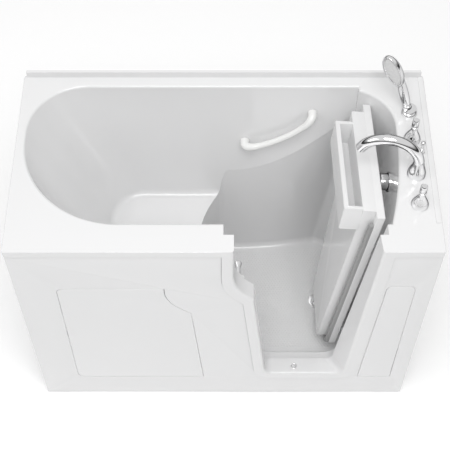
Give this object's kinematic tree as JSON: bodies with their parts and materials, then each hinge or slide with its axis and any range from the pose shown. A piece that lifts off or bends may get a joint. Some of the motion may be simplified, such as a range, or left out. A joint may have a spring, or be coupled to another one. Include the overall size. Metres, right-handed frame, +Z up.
{
  "type": "alcove soaking bathtub",
  "caption": "Tall white walk-in soaking tub with a seat, deep foot well, inward-opening door on a leaning hinge, deck taps, hand shower and overflow on a steel frame.",
  "frame": {"origin": "floor level, under the middle of the tub's length and width", "axes": "+X to the tap end and door hinge (viewer's right), +Y to the back wall, +Z up; the door is in the -Y front"},
  "size_m": [1.346, 0.704, 1.2511],
  "materials": {
    "gelcoat": "gloss white moulded skin",
    "clip_steel": "spring steel",
    "frame_steel": "satin stainless tube",
    "bearer_rubber": "matt",
    "zinc_steel": "zinc plated",
    "seal_rubber": "satin grey silicone",
    "hinge_steel": "satin stainless",
    "chrome": "polished",
    "waste_plastic": "plain waste fitting",
    "grab_white": "satin white moulding",
    "valve_brass": "as machined",
    "pipe_copper": "drawn tube",
    "shower_white": "spray face"
  },
  "bodies": {
    "tub": {"tub_shell": "gelcoat", "front_apron": "gelcoat", "left_access_panel": "gelcoat", "right_access_panel": "gelcoat", "panel_clips": "clip_steel", "base_rail_front": "frame_steel", "base_rail_rear": "frame_steel", "base_rail_left": "frame_steel", "base_rail_right": "frame_steel", "cross_rail_seat": "frame_steel", "cross_rail_well": "frame_steel", "leg_front_left": "frame_steel", "door_post_left": "frame_steel", "door_post_right": "frame_steel", "leg_front_right": "frame_steel", "leg_rear_left": "frame_steel", "leg_rear_right": "frame_steel", "top_rail_rear": "frame_steel", "top_rail_front_left": "frame_steel", "top_rail_front_right": "frame_steel", "floor_bearers": "bearer_rubber", "levelling_feet": "zinc_steel", "foot_locknuts": "zinc_steel", "grab_bar_studs": "zinc_steel", "hinge_bracket_screws": "zinc_steel", "upper_hinge_bracket": "hinge_steel", "lower_hinge_bracket": "hinge_steel", "upper_hinge_pin": "hinge_steel", "lower_hinge_pin": "hinge_steel", "latch_rose": "chrome", "drain_flange": "chrome", "overflow_plate": "chrome", "sill_drain": "chrome", "spout": "chrome", "diverter_body": "chrome", "shower_holder": "chrome", "drain_shoe": "waste_plastic", "overflow_elbow": "waste_plastic", "overflow_pipe": "waste_plastic", "grab_bar": "grab_white", "hot_valve": "valve_brass", "cold_valve": "valve_brass", "spout_tee": "valve_brass", "tap_nuts": "valve_brass", "mixing_pipes": "pipe_copper"},
    "door": {"door_plug": "gelcoat", "door_flange": "gelcoat", "door_seal": "seal_rubber", "upper_hinge_knuckle": "hinge_steel", "lower_hinge_knuckle": "hinge_steel", "hinge_leaf_screws": "zinc_steel"},
    "latch": {"latch_cam": "chrome", "latch_knob": "chrome"},
    "hot_tap": {"hot_handle": "chrome"},
    "cold_tap": {"cold_handle": "chrome"},
    "diverter": {"diverter_pull": "chrome"},
    "overflow_control": {"overflow_knob": "chrome"},
    "stopper": {"drain_stopper": "chrome"},
    "shower": {"hand_shower": "chrome", "shower_face": "shower_white"}
  },
  "joints": [
    {"name": "door_hinge", "type": "hinge", "parent": "tub", "child": "door", "pos_m": [0.507, -0.239, 1.016], "axis": [0.0995, 0, 0.995], "range_deg": [0, 90]},
    {"name": "latch_turn", "type": "hinge", "parent": "tub", "child": "latch", "pos_m": [0.04804, -0.246, 0.69226], "axis": [0, 1, 0], "range_deg": [0, 90]},
    {"name": "hot_turn", "type": "hinge", "parent": "tub", "child": "hot_tap", "pos_m": [0.609, 0.08, 1.016], "axis": [0, 0, 1], "range_deg": [0, 90]},
    {"name": "cold_turn", "type": "hinge", "parent": "tub", "child": "cold_tap", "pos_m": [0.609, -0.176, 1.016], "axis": [0, 0, 1], "range_deg": [-90, 0]},
    {"name": "diverter_lift", "type": "slide", "parent": "tub", "child": "diverter", "axis": [0, 0, 1], "range_m": [0, 0.012]},
    {"name": "overflow_turn", "type": "hinge", "parent": "tub", "child": "overflow_control", "pos_m": [0.54623, 0.01, 0.875], "axis": [-0.995, 0, 0.0995], "range_deg": [0, 90]},
    {"name": "stopper_lift", "type": "slide", "parent": "tub", "child": "stopper", "axis": [0, 0, 1], "range_m": [0, 0.01]},
    {"name": "shower_lift", "type": "slide", "parent": "tub", "child": "shower", "axis": [-0.3036, 0.2484, 0.9199], "range_m": [0, 0.045]}
  ],
  "couplings": [
    {"joint": "stopper_lift", "follows": "overflow_turn", "m_per_rad": 0.006366}
  ]
}
